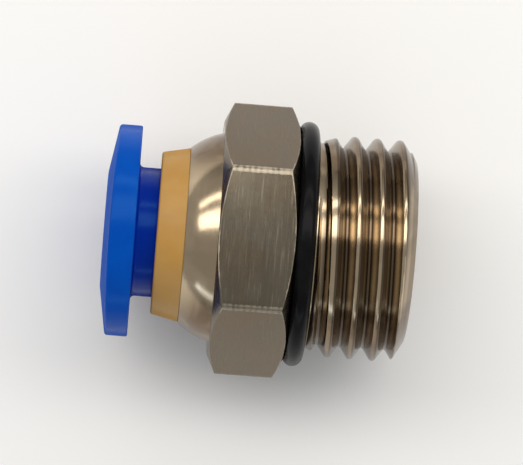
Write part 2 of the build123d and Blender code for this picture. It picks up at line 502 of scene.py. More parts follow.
def new_group(
    kind: GroupKind, inputs: dict[str, float], outputs: list[str]
) -> tuple[Graph, dict[str, Value], bpy.types.Node]:
    """Starts a shader group that takes a Vector and some numbers.

    Args:
        kind: Which group it is.
        inputs: Name and default of each number.
        outputs: Name of each value that it puts out.

    Returns:
        The group's graph, its inputs by name and its output node.
    """
    tree = bpy.data.node_groups.new(kind.value, "ShaderNodeTree")
    tree.interface.new_socket(name="Vector", in_out="INPUT", socket_type="NodeSocketVector")
    for name, default in inputs.items():
        made = tree.interface.new_socket(name=name, in_out="INPUT", socket_type="NodeSocketFloat")
        made.default_value = default
    for name in outputs:
        tree.interface.new_socket(name=name, in_out="OUTPUT", socket_type="NodeSocketFloat")
    graph = Graph(tree)
    given = tree.nodes.new("NodeGroupInput").outputs
    values = {socket.name: Value(graph, socket) for socket in given}
    return graph, values, tree.nodes.new("NodeGroupOutput")


def make_turning_group() -> None:
    """Fine lines left by a lathe or a brush, which run round the fitting's axis."""
    fine_share, coarse_share, coarse_scale = 0.6, 0.4, 0.23
    scratch_tops, patch_tops = (0.56, 0.74), (0.35, 0.68)
    inputs = {"Lines per metre": 9000.0, "Stretch": 0.035}
    graph, given, out = new_group(GroupKind.TURNING, inputs, ["Height", "Scratches", "Patches"])
    stretch = graph.node("CombineXYZ")
    graph.fill(stretch, X=1.0, Y=given["Stretch"], Z=given["Stretch"])
    stretched = graph.node("VectorMath", operation="MULTIPLY")
    graph.feed(stretched.inputs[0], given["Vector"])
    graph.feed(stretched.inputs[1], Value(graph, stretch.outputs[0]))
    along = Value(graph, stretched.outputs[0])
    fine = graph.noise(along, given["Lines per metre"], detail=3.0)
    coarse = graph.noise(along, given["Lines per metre"] * coarse_scale)
    patches = graph.noise(given["Vector"], PATCHES_PER_METRE, detail=3.0, distortion=0.6)
    graph.fill(
        out,
        Height=fine * fine_share + coarse * coarse_share,
        Scratches=fine.ramp(scratch_tops),
        Patches=patches.ramp(patch_tops),
    )


def make_wear_group() -> None:
    """Breaks a smooth mask up into the uneven patches of a worn edge."""
    worn_from = (0.35, 0.75)
    inputs = {"Mask": 0.0, "Grain per metre": 2600.0, "Break up": 0.5}
    graph, given, out = new_group(GroupKind.WEAR, inputs, ["Wear"])
    grain = graph.noise(given["Vector"], given["Grain per metre"], detail=4.0)
    pull = (grain - 0.5) * given["Break up"] * 2.0
    graph.fill(out, Wear=(given["Mask"] + pull).ramp(worn_from))


def make_dust_group() -> None:
    """Specks and a faint film of dust."""
    speck_size, field_tops, film_tops, film_share = (0.22, 0.08), (0.5, 0.72), (0.35, 0.8), 0.35
    graph, given, out = new_group(GroupKind.DUST, {"Amount": 0.5}, ["Dust"])
    place = given["Vector"]
    specks = graph.node("TexVoronoi", feature="F1")
    graph.fill(specks, Vector=place, Scale=SPECKS_PER_METRE)
    speck = Value(graph, specks.outputs["Distance"]).ramp(speck_size)
    field = graph.noise(place, SPECK_FIELDS_PER_METRE, detail=3.0).ramp(field_tops)
    film = graph.noise(place, FILM_PER_METRE, detail=4.0).ramp(film_tops, (0.0, film_share))
    dust = graph.math("MULTIPLY", speck * field + film, given["Amount"], clamp=True)
    graph.fill(out, Dust=dust)


class Surface(Graph):
    """Graph of a new material, with its Principled BSDF and its object coordinates."""

    def __init__(self, name: str) -> None:
        """Makes the material.

        Args:
            name: The material's name.
        """
        self.material = bpy.data.materials.new(name)
        self.material.use_nodes = True
        super().__init__(self.material.node_tree)
        self.shader = self.tree.nodes["Principled BSDF"]
        self.place = Value(self, self.node("TexCoord").outputs["Object"])

    def split(self) -> tuple[Value, Value, Value]:
        """Splits the object coordinates.

        Returns:
            The values along X, Y and Z.
        """
        made = self.node("SeparateXYZ")
        self.feed(made.inputs[0], self.place)
        return tuple(Value(self, made.outputs[axis]) for axis in "XYZ")

    def patches(self, scale: float, detail: float = 2.0, distortion: float = 0.0) -> Value:
        """Noise on the object coordinates; its arguments are those of noise."""
        return self.noise(self.place, scale, detail, distortion)

    def group(self, kind: GroupKind, **inputs: Operand) -> dict[str, Value]:
        """Places a shared group on the object coordinates.

        Args:
            kind: The group.
            inputs: Its numbers, with _ for a space in the name.

        Returns:
            Its results by name.
        """
        made = self.node("Group", node_tree=bpy.data.node_groups[kind.value])
        self.fill(made, Vector=self.place, **inputs)
        return {socket.name: Value(self, socket) for socket in made.outputs}


class TurnedPlace:
    """Where a point lies on a turned piece: along X, across in Y, off the axis and round it."""

    def __init__(self, surface: Surface) -> None:
        """Works the places out.

        Args:
            surface: The material's graph.
        """
        self.along, self.across, up = surface.split()
        self.radius = surface.math("SQRT", self.across * self.across + up * up)
        self.off_axis = surface.math("ABSOLUTE", self.across)
        self.angle = surface.math("ARCTAN2", up, self.across)


class Finish:
    """Base of the finishes: a material whose surface each of them dresses."""

    name: str

    def build(self) -> bpy.types.Material:
        """Makes the material.

        Returns:
            The finished material.
        """
        surface = Surface(self.name)
        self.dress(surface)
        return surface.material

    def dress(self, surface: Surface) -> None:
        """Feeds the surface; each finish has its own."""
        raise NotImplementedError


@dataclass(frozen=True)
class NickelPlate(Finish):
    """Nickel over brass: glossy turned surfaces, brushed flats, worn edges, a dirty thread,
    painted shade on its sides, side flats and thread flanks, and painted highlight on its corners.
    """

    root_radius: float
    pitch: float
    crest_x: float
    chamfer_start: float
    chamfer_angle: float
    hexagon_middle: float
    name: str = "nickel_plate"
    bright: Colour = (0.59, 0.475, 0.33)
    # The tarnish colour is also the painted shade on the sides and the side flats.
    tarnish_and_shade: Colour = (0.175, 0.124, 0.08)
    brushed: Colour = (0.158, 0.14, 0.108)
    scratched: Colour = (0.31, 0.27, 0.205)
    # The worn colour is also the painted highlight on the corners and where the flats end.
    wear_and_highlight: Colour = (0.58, 0.51, 0.40)
    # The grime colour is also the painted shade in the grooves and on one flank of each turn.
    grime_and_shade: Colour = (0.07, 0.05, 0.035)
    turned_roughness: float = 0.16
    thread_roughness: float = 0.18
    flat_roughness: float = 0.27
    brush_roughness: float = 0.2
    worn_roughness: float = 0.3
    hexagon_start: float = 6.64 * MM
    hexagon_blend: float = 0.03 * MM
    flat_edge: Span = (6.95 * MM, 6.98 * MM)
    chamfer_wear: float = 0.1 * MM
    corner_start: float = 7.95 * MM
    corner_blend: float = 0.04 * MM
    thread_start: float = 0.6 * MM
    thread_bore: float = 5.0 * MM
    first_groove: Span = (1.2 * MM, 1.5 * MM)
    last_groove: Span = (6.35 * MM, 6.6 * MM)
    # Grime in the thread's roots, which also stands in for shade in the grooves.
    root_grime_and_shade: Span = (0.03 * MM, 0.2 * MM)
    # Painted shade on one flank of each thread turn.
    shaded_flank_span: Span = (0.5, 0.78)
    flank_phase: float = 0.55
    flank_shade_share: float = 0.85
    end_share: float = 0.4
    groove_share: float = 0.45
    side_flats: Span = (3.9 * MM, 4.3 * MM)
    # Painted shade: the plating turns darker towards ±Y, on the body's sides.
    shaded_sides: Span = (2.6 * MM, 4.8 * MM)
    side_shade_share: float = 0.78
    end_face: Span = (6.7 * MM, 6.98 * MM)
    # Darker towards the thread's end, over its end chamfer and end face.
    tip_darkening: Span = (6.3 * MM, 6.6 * MM)
    tip_darkening_share: float = 0.45
    patch_share: float = 0.3
    flat_patch_share: float = 0.35
    # Painted shade: the flats beside the middle one are browner and less scratched.
    side_flat_shade: float = 0.3
    scratch_share: float = 0.6
    side_shade_scratch_loss: float = 0.4
    # Wear and painted highlight on the flat ends and the corners: brighter towards +Y, fading at
    # the sides.
    arc_patches: Span = (0.45, 0.6)
    arc_shares: Span = (0.15, 0.85)
    arc_sides: Span = (4.1 * MM, 4.8 * MM)
    arc_break_up: float = 0.75
    ridge_tops: Span = (0.1, 0.9)
    ridge_wear_and_highlight: Span = (0.58, 0.75)
    corner_break_up: float = 0.35
    corner_sides: Span = (5.0 * MM, 7.0 * MM)
    highlight_rise: Span = (-4.5 * MM, 1.0 * MM)
    corner_highlight_shares: Span = (0.32, 0.9)
    side_wear_and_highlight: Span = (1.0, 0.3)
    brush_lines: float = 11000.0
    brush_stretch: float = 0.05
    ridges_per_metre: float = 950.0
    turned_height: float = 0.0012 * MM
    brushed_height: float = 0.007 * MM
    ridge_height: float = 0.0025 * MM
    ripple_height: float = 0.005 * MM
    ripples_per_metre: float = 1500.0

    def dress(self, surface: Surface) -> None:
        """Feeds the surface.

        Args:
            surface: The material's graph.
        """
        at = TurnedPlace(surface)
        hexagon = at.radius.ramp(around(self.hexagon_start, self.hexagon_blend))
        turning = surface.group(GroupKind.TURNING)
        brushing = surface.group(
            GroupKind.TURNING, Lines_per_metre=self.brush_lines, Stretch=self.brush_stretch
        )
        ridges = self.corner_ridges(surface)
        # Wear on the hexagon's corners and flat ends, brightened as painted highlight, most on the
        # +Y corner.
        wear_and_highlight = self.edge_wear_and_highlight(surface, at, ridges)

        before_face = at.along.ramp(self.end_face, FALLING)
        # Painted shade: the plating darkens towards ±Y, stopping short of the end face.
        side_shade = at.off_axis.ramp(self.shaded_sides, (0.0, self.side_shade_share)) * before_face
        # Darker towards the thread's end, over its end chamfer and end face.
        tip = at.along.ramp(self.tip_darkening, (0.0, self.tip_darkening_share))
        dull_and_shade = side_shade + (turning["Patches"] * self.patch_share + tip)
        plated = surface.mix(dull_and_shade, self.bright, self.tarnish_and_shade)
        # Painted shade: the flats beside the middle one get the darker colour and fewer scratches.
        beside = at.off_axis.ramp(self.side_flats)
        scratches = brushing["Scratches"] * (self.scratch_share - beside * self.side_shade_scratch_loss)
        fine = surface.mix(scratches, self.brushed, self.scratched)
        stain_and_side_shade = brushing["Patches"] * self.flat_patch_share + beside * self.side_flat_shade
        skin = surface.mix(hexagon, plated, surface.mix(stain_and_side_shade, fine, self.tarnish_and_shade))
        # Grime and painted shade in the thread: dark grooves, and one dark flank on each turn.
        dirty_and_shaded = surface.mix(self.thread_grime_and_shade(surface, at), skin, self.grime_and_shade)

        threaded = surface.math("GREATER_THAN", at.along, self.thread_start)
        thread_step = self.thread_roughness - self.turned_roughness
        turned = threaded * thread_step + self.turned_roughness
        uneven = (brushing["Height"] - 0.5) * self.brush_roughness
        rough = turned + (self.flat_roughness - turned) * hexagon + uneven

        lines = surface.bump(turning["Height"], self.turned_height)
        scored = surface.bump(brushing["Height"] * hexagon, self.brushed_height, lines)
        corner = at.radius.ramp((self.corner_start, self.corner_start + self.corner_blend))
        ridged = surface.bump(ridges * corner, self.ridge_height, scored)
        ripple = surface.patches(self.ripples_per_metre, detail=3.0)
        surface.fill(
            surface.shader,
            Base_Color=surface.mix(wear_and_highlight, dirty_and_shaded, self.wear_and_highlight),
            Metallic=1.0,
            Roughness=rough + wear_and_highlight * self.worn_roughness,
            Normal=surface.bump(ripple, self.ripple_height, ridged),
        )

    def corner_ridges(self, surface: Surface) -> Value:
        """Ridges that follow one another along X on the hexagon's corners.

        Args:
            surface: The material's graph.

        Returns:
            Their height, from 0 to 1.
        """
        made = surface.node("TexWave", wave_type="BANDS", bands_direction="X")
        surface.fill(made, Vector=surface.place, Scale=self.ridges_per_metre)
        surface.fill(made, Distortion=3.0, Detail=2.0, Detail_Scale=1.5)
        return Value(surface, made.outputs["Fac"])

    def thread_grime_and_shade(self, surface: Surface, at: TurnedPlace) -> Value:
        """Mask of grime and painted shade in the thread: grime in its grooves that also darkens
        them as painted shade, and painted shade on one flank of each turn.

        Args:
            surface: The material's graph.
            at: Where a point lies.

        Returns:
            The mask.
        """
        # Painted shade: one flank of each turn, followed round the helix, is darkened.
        phase = (at.along - self.crest_x) / self.pitch * FULL_TURN - at.angle
        shaded_flank = surface.math("SINE", phase + self.flank_phase)
        shaded_flank = shaded_flank.ramp(self.shaded_flank_span, (0.0, self.flank_shade_share))
        before_end = at.along.ramp(self.last_groove, FALLING)
        length = at.along.ramp(self.first_groove) * before_end
        # Grime near the roots, which also stands in for shade in the grooves; the bore, the end
        # face and the end chamfer's inner part get a smaller share.
        shallow, full = self.root_grime_and_shade
        deep = at.radius.ramp((self.root_radius + shallow, self.root_radius + full), FALLING)
        outside = before_end * surface.math("GREATER_THAN", at.radius, self.thread_bore)
        share = outside * self.groove_share + self.end_share
        groove = deep * share * surface.math("GREATER_THAN", at.along, self.thread_start)
        return surface.math("MAXIMUM", groove, shaded_flank * length)

    def edge_wear_and_highlight(self, surface: Surface, at: TurnedPlace, ridges: Value) -> Value:
        """Mask of wear and painted highlight: ridged on the hexagon's corners, brightest on the +Y
        corner, faint where its flats end.

        Args:
            surface: The material's graph.
            at: Where a point lies.
            ridges: Height of the ridges that the corners show.

        Returns:
            The mask, broken up by grain.
        """
        turn = surface.math("PINGPONG", at.angle, HALF_SIDE)
        flat_distance = at.radius * surface.math("COSINE", HALF_SIDE - turn)
        from_middle = surface.math("ABSOLUTE", at.along - self.hexagon_middle)
        cone = (at.radius - self.chamfer_start) * math.tan(math.radians(self.chamfer_angle))
        gap = -self.hexagon_middle - cone - from_middle
        near_arc = gap.ramp((0.0, self.chamfer_wear), FALLING) * flat_distance.ramp(self.flat_edge)
        arcs = surface.group(GroupKind.WEAR, Mask=near_arc, Break_up=self.arc_break_up)["Wear"]
        # The worn patches where the flats end also stand in for the chamfer's highlight, as
        # painted highlight.
        arc_wear_and_highlight = surface.patches(PATCHES_PER_METRE).ramp(self.arc_patches, self.arc_shares)
        arc_share = arc_wear_and_highlight * at.off_axis.ramp(self.arc_sides, self.side_wear_and_highlight)

        corner = at.radius.ramp(around(self.corner_start, self.corner_blend))
        ridged = corner * ridges.ramp(self.ridge_tops, self.ridge_wear_and_highlight)
        land = surface.group(GroupKind.WEAR, Mask=ridged, Break_up=self.corner_break_up)["Wear"]
        side_share = at.off_axis.ramp(self.corner_sides, self.side_wear_and_highlight)
        # Painted highlight: the corner towards +Y gets much more of the bright band than the one
        # towards -Y.
        corner_highlight_share = at.across.ramp(self.highlight_rise, self.corner_highlight_shares) * side_share
        return surface.math("MAXIMUM", land * corner_highlight_share, arcs * arc_share)


@dataclass(frozen=True)
class MouldedPlastic(Finish):
    """Injection-moulded plastic with a faint flow pattern, a little dust and, where asked, painted
    shade from a place along X on.
    """

    name: str
    colour: Colour
    pale: Colour
    roughness: float
    depth_colour: Colour
    depth_share: float
    dust: float
    depth: float = 0.3 * MM
    dust_colour: Colour = (0.7, 0.7, 0.68)
    refraction: float = 1.48
    gloss: float = 0.5
    gloss_tint: Colour = (1.0, 1.0, 1.0)
    sheen_facing: Span = (0.55, 0.85)
    sheen_roughness: float = 0.5
    # Painted shade: from this place along X on, the colour turns deeper.
    neck_shade_x: float = 0.0
    neck_shade_blend: float = 0.1 * MM
    neck_shade_share: float = 0.0
    neck_shade_colour: Colour = (0.5, 0.5, 0.5)
    flow_per_metre: float = 330.0
    flow_swirl: float = 0.8
    flow_tops: Span = (0.3, 0.75)
    flow_share: float = 0.5
    dust_roughness: float = 0.3
    grain_per_metre: float = 7000.0
    grain_roughness: float = 0.1
    grain_height: float = 0.0015 * MM
    ripples_per_metre: float = 900.0
    ripple_height: float = 0.012 * MM

    def dress(self, surface: Surface) -> None:
        """Feeds the surface.

        Args:
            surface: The material's graph.
        """
        flow = surface.patches(self.flow_per_metre, 3.0, self.flow_swirl).ramp(self.flow_tops)
        dust = surface.group(GroupKind.DUST, Amount=self.dust)["Dust"]
        # Painted shade: from a place along X on, behind the flange's back, the plastic turns a
        # deeper colour.
        plain = surface.mix(flow * self.flow_share, self.colour, self.pale)
        if self.neck_shade_share > 0:
            reach = (self.neck_shade_x, self.neck_shade_x + self.neck_shade_blend)
            inner = surface.split()[0].ramp(reach, (0.0, self.neck_shade_share))
            plain = surface.mix(inner, plain, self.neck_shade_colour)
        grain = surface.patches(self.grain_per_metre)
        facing = Value(surface, surface.node("LayerWeight").outputs["Facing"])
        sheen = facing.ramp(self.sheen_facing, (0.0, self.sheen_roughness))
        smooth = self.roughness - self.grain_roughness / 2
        rough = grain * self.grain_roughness + (sheen + smooth) + dust * self.dust_roughness
        ripple = surface.bump(surface.patches(self.ripples_per_metre), self.ripple_height)
        surface.fill(
            surface.shader,
            Base_Color=surface.mix(dust, plain, self.dust_colour),
            Roughness=rough,
            IOR=self.refraction,
            Specular_IOR_Level=self.gloss,
            Specular_Tint=self.gloss_tint,
            Subsurface_Weight=self.depth_share,
            Subsurface_Radius=self.depth_colour,
            Subsurface_Scale=self.depth,
            Normal=surface.bump(grain, self.grain_height, ripple),
        )


@dataclass(frozen=True)
class Rubber(Finish):
    """Black nitrile rubber with a dull skin and pale dust."""

    name: str = "black_rubber"
    colour: Colour = (0.003, 0.003, 0.004)
    pale: Colour = (0.007, 0.007, 0.008)
    roughness: float = 0.20
    bloom_roughness: float = 0.15
    bloom_per_metre: float = 500.0
    bloom_tops: Span = (0.4, 0.8)
    skin_per_metre: float = 5200.0
    skin_height: float = 0.004 * MM
    dust: float = 0.04
    dust_colour: Colour = (0.10, 0.10, 0.10)
    gloss: float = 0.09

    def dress(self, surface: Surface) -> None:
        """Feeds the surface.

        Args:
            surface: The material's graph.
        """
        bloom = surface.patches(self.bloom_per_metre, 4.0).ramp(self.bloom_tops)
        dust = surface.group(GroupKind.DUST, Amount=self.dust)["Dust"]
        plain = surface.mix(bloom, self.colour, self.pale)
        surface.fill(
            surface.shader,
            Base_Color=surface.mix(dust, plain, self.dust_colour),
            Specular_IOR_Level=self.gloss,
            Roughness=bloom * self.bloom_roughness + self.roughness,
            Normal=surface.bump(surface.patches(self.skin_per_metre, 3.0), self.skin_height),
        )


@dataclass(frozen=True)
class SpringSteel(Finish):
    """Stamped stainless sheet."""

    name: str = "spring_steel"
    colour: Colour = (0.62, 0.62, 0.61)
    shade: Colour = (0.42, 0.41, 0.39)
    shade_share: float = 0.3
    roughness: float = 0.22
    line_roughness: float = 0.2
    line_height: float = 0.002 * MM
    lines_per_metre: float = 14000.0

    def dress(self, surface: Surface) -> None:
        """Feeds the surface.

        Args:
            surface: The material's graph.
        """
        turning = surface.group(GroupKind.TURNING, Lines_per_metre=self.lines_per_metre)
        shaded = turning["Patches"] * self.shade_share
        surface.fill(
            surface.shader,
            Base_Color=surface.mix(shaded, self.colour, self.shade),
            Metallic=1.0,
            Roughness=turning["Height"] * self.line_roughness + self.roughness,
            Normal=surface.bump(turning["Height"], self.line_height),
        )


BLUE_ACETAL = MouldedPlastic(
    name="blue_acetal",
    colour=(0.0, 0.062, 0.42),
    pale=(0.0, 0.09, 0.50),
    roughness=0.21,
    depth_colour=(0.1, 0.3, 1.0),
    depth_share=0.05,
    dust=0.05,
    dust_colour=(0.1, 0.25, 0.6),
    gloss=0.26,
    gloss_tint=(0.2, 0.65, 1.0),
    # Painted shade: the blue turns deeper from the flange's back on, over the neck.
    neck_shade_x=-9.28 * MM,
    neck_shade_share=0.9,
    neck_shade_colour=(0.0, 0.018, 0.37),
)
CREAM_ACETAL = MouldedPlastic(
    name="cream_acetal",
    colour=(0.46, 0.24, 0.038),
    pale=(0.55, 0.31, 0.065),
    roughness=0.42,
    depth_colour=(1.0, 0.6, 0.25),
    depth_share=0.25,
    dust=0.2,
)
WHITE_ACETAL = MouldedPlastic(
    name="white_acetal",
    colour=(0.75, 0.74, 0.70),
    pale=(0.82, 0.81, 0.78),
    roughness=0.4,
    depth_colour=(1.0, 0.9, 0.8),
    depth_share=0.2,
    dust=0.1,
)


# ---------------------------------------------------------------- pieces


@dataclass
class HexBody:
    """Nickel-plated body: domed nose, hexagon, neck, right-hand thread and stepped bore."""

    nose_x: float
    thread_end_x: float
    across_flats: float
    thread_radius: float
    hex_length: float = 4.45 * MM
    chamfer_start: float = 6.94 * MM
    chamfer_angle: float = 25.0
    chamfer_rounding: float = 0.04 * MM
    corner_radius: float = 8.035 * MM
    flat_rounding: float = 0.08 * MM
    nose_radius: float = 5.2 * MM
    dome_radius: float = 6.2 * MM
    dome_bulge: float = 0.12 * MM
    dome_steps: int = 20
    neck_radius: float = 6.1 * MM
    neck_rounding: float = 0.1 * MM
    neck_end_x: float = 1.25 * MM
    neck_gap: float = 0.05 * MM
    start_chamfer: float = 1.4 * MM
    end_chamfer_depth: float = 1.15 * MM
    end_gap: float = 0.1 * MM
    run_out: float = 0.7 * MM
    pitch: float = 1.337 * MM
    flank_angle: float = 35.0
    crest_rounding: float = 0.22 * MM
    root_rounding: float = 0.12 * MM
    flank_step: float = 0.1 * MM
    top_crest_x: float = 5.97 * MM
    chamber_radius: float = 4.5 * MM
    chamber_mouth: float = 0.12 * MM
    chamber_rounding: float = 0.05 * MM
    chamber_floor_x: float = 1.204 * MM
    tube_seat_radius: float = 3.05 * MM
    tube_seat_mouth: float = 0.1 * MM
    tube_stop_x: float = 4.504 * MM
    key_across_flats: float = 4.0 * MM
    key_mouth: float = 0.25 * MM
    spare_turns: int = 3
    smooth_angle: float = 35.0

    @property
    def root_radius(self) -> float:
        """Radius of the bottom of the thread's groove."""
        run = self.pitch / 2 - self.reach(self.crest_rounding) - self.reach(self.root_rounding)
        return self.thread_radius - run / math.tan(math.radians(self.flank_angle))

    @property
    def end_radius(self) -> float:
        """Radius that the end chamfer leaves at the thread's end."""
        return self.thread_radius - self.end_chamfer_depth

    def reach(self, rounding: float) -> float:
        """Half the width that the rounding of a crest or root takes up along X."""
        return rounding * math.tan(math.radians(45 - self.flank_angle / 2))

    def build(self) -> Piece:
        """Builds the whole body as one closed mesh.

        Returns:
            The body's object.
        """
        mesh = bmesh.new()
        self.turn_blank(mesh)
        clean(mesh)
        self.cut_flats(mesh)
        self.add_end_face(mesh)
        self.add_thread(mesh)
        self.add_key_bore(mesh)
        clean(mesh)
        return finish_piece(mesh, "hex_body", self.smooth_angle)

    def turn_blank(self, mesh: Mesh) -> None:
        """Turns the blank from the neck over the hexagon and nose and down to the tube's stop.

        Args:
            mesh: The mesh that receives it.
        """
        chamfer_height = self.corner_radius - self.chamfer_start
        cone = chamfer_height * math.tan(math.radians(self.chamfer_angle))
        back_x = -self.hex_length
        outer = [
            Corner(self.neck_end_x - self.neck_gap, self.neck_radius),
            Corner(0, self.neck_radius, self.neck_rounding),
            Corner(0, self.chamfer_start, self.chamfer_rounding),
            Corner(-cone, self.corner_radius),
            Corner(back_x + cone, self.corner_radius),
            Corner(back_x, self.chamfer_start, self.chamfer_rounding),
            Corner(back_x, self.dome_radius),
        ]
        dome_ends = (self.nose_x, self.nose_radius), (back_x, self.dome_radius)
        dome = bulged_run(*dome_ends, self.dome_bulge, self.dome_steps)
        inner = [
            Corner(self.nose_x, self.nose_radius),
            Corner(self.nose_x, self.chamber_radius, self.chamber_mouth),
            Corner(self.chamber_floor_x, self.chamber_radius, self.chamber_rounding),
            Corner(self.chamber_floor_x, self.tube_seat_radius, self.tube_seat_mouth),
            Corner(self.tube_stop_x, self.tube_seat_radius),
        ]
        outside, inside = round_outline(outer, closed=False), round_outline(inner, closed=False)
        spin_outline(mesh, outside + dome[-2:0:-1] + inside, closed=False)

    def cut_flats(self, mesh: Mesh) -> None:
        """Cuts the six flats off the turned blank and softens their edges.

        Args:
            mesh: The body's mesh.
        """
        apothem = self.across_flats / 2
        flats = []
        for side in range(HEX_SIDES):
            turn = side * FULL_TURN / HEX_SIDES
            normal = Vector((0, math.sin(turn), math.cos(turn)))
            rim = trim(mesh, normal * apothem, normal)
            flats += bmesh.ops.contextual_create(mesh, geom=rim)["faces"]
        bmesh.ops.recalc_face_normals(mesh, faces=mesh.faces)
        flats = set(face for face in flats if face.is_valid)
        outlines = [edge for edge in mesh.edges if len(flats.intersection(edge.link_faces)) == 1]
        bmesh.ops.bevel(
            mesh,
            geom=outlines,
            offset=self.flat_rounding,
            offset_type="OFFSET",
            segments=3,
            profile=0.5,
            affect="EDGES",
            clamp_overlap=True,
            material=-1,
        )

    def add_end_face(self, mesh: Mesh) -> None:
        """Turns the flat ring at the thread's end.

        Args:
            mesh: The body's mesh.
        """
        mouth = self.key_across_flats / 2 / math.cos(HALF_SIDE) + self.key_mouth
        outer = self.end_radius - self.end_gap
        spin_outline(mesh, [(self.thread_end_x, outer), (self.thread_end_x, mouth)], closed=False)

    def thread_profile(self) -> list[Point]:
        """Outline of one pitch, from the middle of a crest to the middle of the next.

        Returns:
            The points in (x, radius), with the first crest's middle at x = 0.
        """
        crest, root, groove_x = self.thread_radius, self.root_radius, self.pitch / 2
        crest_reach, root_reach = self.reach(self.crest_rounding), self.reach(self.root_rounding)
        corners = [
            Corner(0, crest),
            Corner(crest_reach, crest, self.crest_rounding),
            Corner(groove_x - root_reach, root, self.root_rounding),
            Corner(groove_x + root_reach, root, self.root_rounding),
            Corner(self.pitch - crest_reach, crest, self.crest_rounding),
            Corner(self.pitch, crest),
        ]
        return split_runs(round_outline(corners, closed=False), self.flank_step)

    def add_thread(self, mesh: Mesh) -> None:
        """Winds the thread, trims and chamfers it, and joins it to the neck and the end face.

        Args:
            mesh: The body's mesh.
        """
        # The winding starts before the neck and ends past the end face, and is trimmed to both.
        thread = bmesh.new()
        length = self.thread_end_x - self.neck_end_x
        turns = math.ceil(length / self.pitch) + self.spare_turns
        start = self.top_crest_x - (turns - 2) * self.pitch
        points = [(start + x, r) for x, r in self.thread_profile()]
        spin_outline(thread, points, closed=False, pitch=self.pitch)
        turn = whole(thread)
        for count in range(1, turns):
            moved = only(Vert, bmesh.ops.duplicate(thread, geom=turn)["geom"])
            bmesh.ops.translate(thread, verts=moved, vec=(count * self.pitch, 0, 0))
        bmesh.ops.remove_doubles(thread, verts=thread.verts, dist=MERGE_DISTANCE)
        trim(thread, Vector((self.neck_end_x, 0, 0)), Vector((-1, 0, 0)))
        trim(thread, Vector((self.thread_end_x, 0, 0)), Vector((1, 0, 0)))
        self.chamfer_thread(thread)
        data = bpy.data.meshes.new("thread")
        thread.to_mesh(data)
        thread.free()
        mesh.from_mesh(data)
        bpy.data.meshes.remove(data)
        self.join_loops(mesh, self.neck_end_x, self.neck_end_x - self.neck_gap)
        self.join_loops(mesh, self.thread_end_x, self.thread_end_x)

    def chamfer_thread(self, thread: Mesh) -> None:
        """Turns the crests down by a cone at each end and lets the groove run out at the neck.

        Args:
            thread: The thread's mesh.
        """
        start_slope = (self.thread_radius - self.neck_radius) / self.start_chamfer
        run_out_slope = (self.neck_radius - self.root_radius) / self.run_out
        end_slope = self.end_chamfer_depth / (self.pitch / 2)
        for vert in thread.verts:
            past_neck = vert.co.x - self.neck_end_x
            before_end = self.thread_end_x - vert.co.x
            start_cone = self.neck_radius + past_neck * start_slope
            end_cone = self.end_radius + before_end * end_slope
            lowest = self.neck_radius - past_neck * run_out_slope
            set_radius(vert, min(max(radius_of(vert), lowest), start_cone, end_cone))

    def join_loops(self, mesh: Mesh, x: float, other_x: float) -> None:
        """Bridges two open loops outside the key bore, in one plane or two.

        Args:
            mesh: The body's mesh.
            x: Plane of the thread's loop.
            other_x: Plane of the loop that it joins.
        """
        edges = set(boundary_at(mesh, x)) | set(boundary_at(mesh, other_x))
        outer = [edge for edge in edges if radius_of(edge.verts[0]) > self.key_across_flats]
        bmesh.ops.bridge_loops(mesh, edges=outer)

    def add_key_bore(self, mesh: Mesh) -> None:
        """Cuts the hexagon key bore from the end face to the tube's stop.

        Args:
            mesh: The body's mesh.
        """
        apothem = self.key_across_flats / 2
        corner = apothem / math.cos(HALF_SIDE)
        ring = bmesh.ops.create_circle(mesh, segments=SPIN_STEPS, radius=corner)["verts"]
        bmesh.ops.rotate(mesh, verts=ring, matrix=Matrix.Rotation(RIGHT_ANGLE, 3, "Y"))
        for vert in ring:
            turn = math.atan2(vert.co.y, vert.co.z) % (2 * HALF_SIDE) - HALF_SIDE
            set_radius(vert, apothem / math.cos(HALF_SIDE - abs(turn)))
            vert.co.x = self.thread_end_x - (corner + self.key_mouth - radius_of(vert))
        rim = list({edge for vert in ring for edge in vert.link_edges})
        walls = bmesh.ops.extrude_edge_only(mesh, edges=rim)["geom"]
        for vert in only(Vert, walls):
            vert.co.x = self.tube_stop_x
        deep_rim = [edge for edge in only(Edge, walls) if edge.is_boundary]
        stop = [edge for edge in boundary_at(mesh, self.tube_stop_x) if edge not in deep_rim]
        bmesh.ops.bridge_loops(mesh, edges=deep_rim + stop)
        bmesh.ops.bridge_loops(mesh, edges=rim + boundary_at(mesh, self.thread_end_x))


@dataclass
class ThreadSeal:
    """Rubber O-ring on the neck, between the hexagon and the thread."""

    start_x: float
    outer_radius: float
    section: float
    section_steps: int = 40
    smooth_angle: float = 60.0

    def build(self) -> Piece:
        """Turns the ring from a round section.

        Returns:
            The ring's object.
        """
        mesh = bmesh.new()
        radius = self.section / 2
        middle = (self.start_x + radius, self.outer_radius - radius)
        points = arc_points(middle, radius, 0, FULL_TURN, self.section_steps)[:-1]
        spin_outline(mesh, points, closed=True)
        clean(mesh)
        return finish_piece(mesh, "o_ring", self.smooth_angle)


